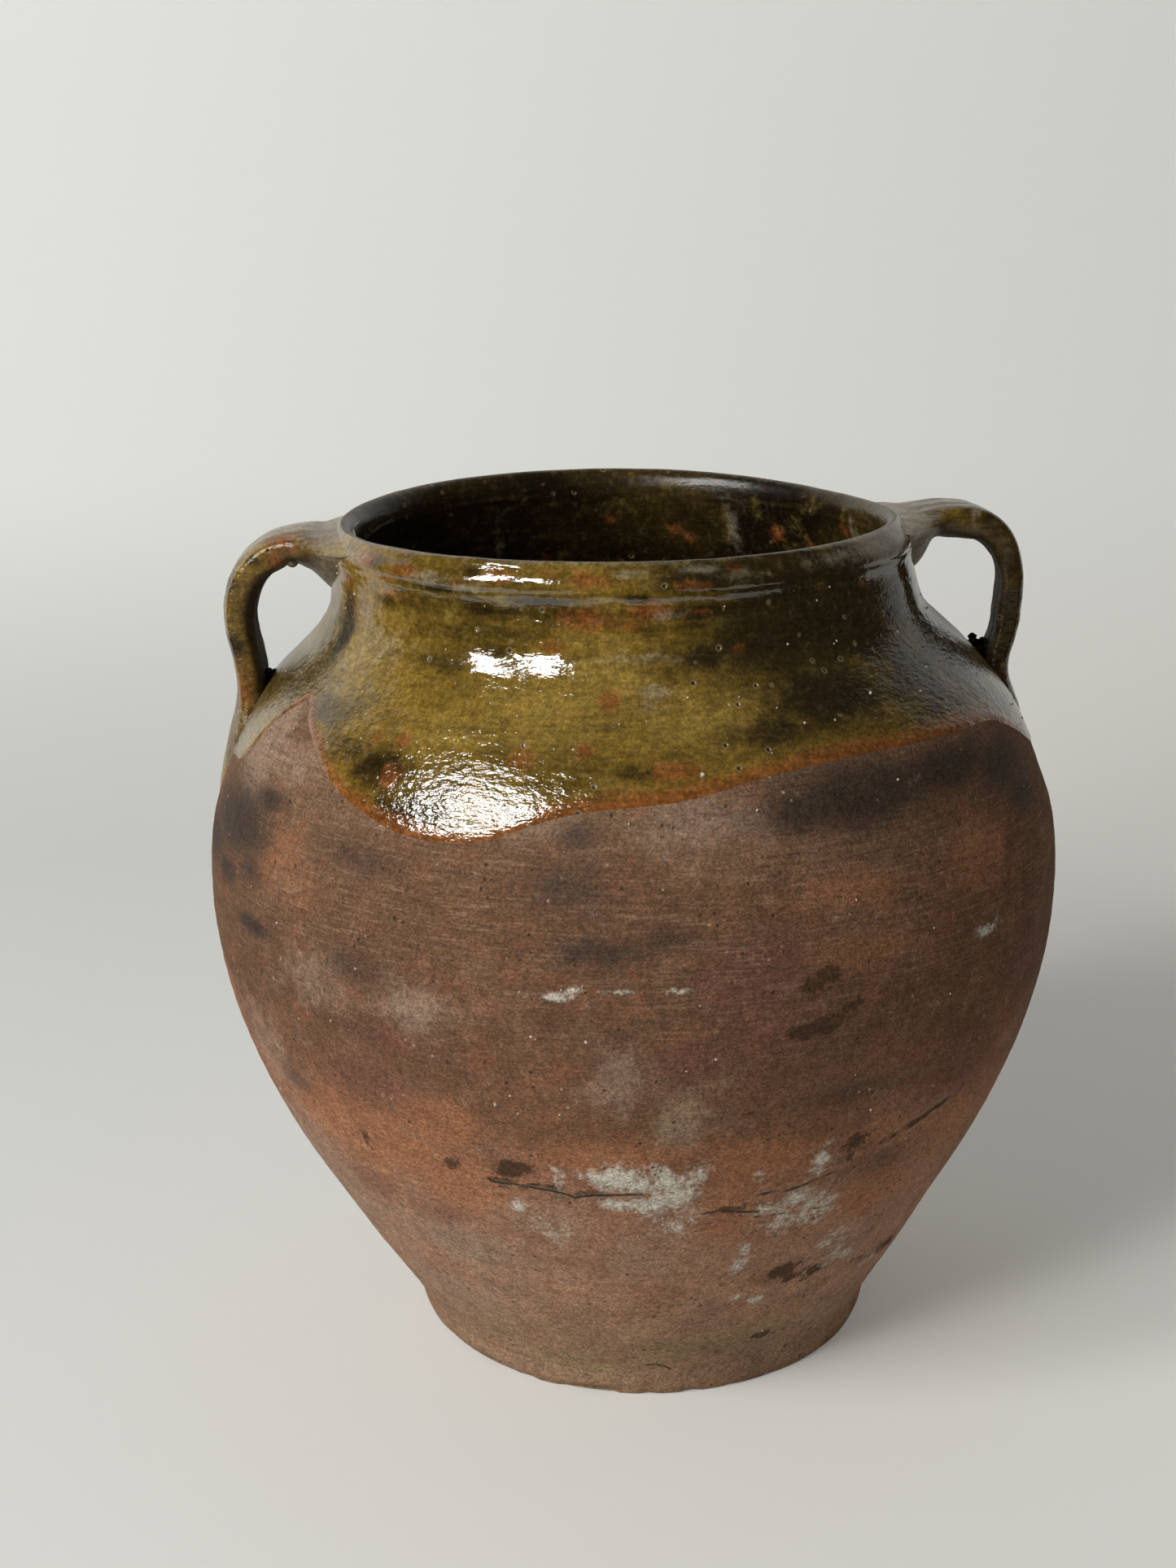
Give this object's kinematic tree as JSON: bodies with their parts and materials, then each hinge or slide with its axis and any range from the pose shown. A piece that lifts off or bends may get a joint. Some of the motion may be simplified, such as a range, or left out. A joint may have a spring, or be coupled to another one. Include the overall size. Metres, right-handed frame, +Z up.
{
  "type": "olive jar",
  "caption": "Round-bellied earthenware jar with a wide mouth, a rolled rim, strap handles at the neck and glaze over the shoulder and inside, for storing olives.",
  "frame": {"origin": "centre of the foot's flat underside", "axes": "+Z up along the jar's axis, +X towards the right handle, -Y towards the front"},
  "size_m": [0.303, 0.303, 0.3005],
  "materials": {
    "fired_clay": "unglazed red earthenware, smoke-stained and fine-grained",
    "olive_glaze": "glossy olive-brown lead-type glaze with pinholes and rust spots",
    "lining_glaze": "glossy dark olive-brown glaze"
  },
  "bodies": {
    "root": {"foot_slab": "fired_clay", "lower_wall": "fired_clay", "upper_wall": "fired_clay", "rim_roll": "fired_clay", "left_handle": "fired_clay", "right_handle": "fired_clay", "left_rim_pad": "olive_glaze", "right_rim_pad": "olive_glaze", "left_shoulder_tail": "olive_glaze", "right_shoulder_tail": "olive_glaze", "left_handle_glaze": "olive_glaze", "right_handle_glaze": "olive_glaze", "outer_glaze": "olive_glaze", "inner_glaze": "lining_glaze"}
  },
  "joints": []
}
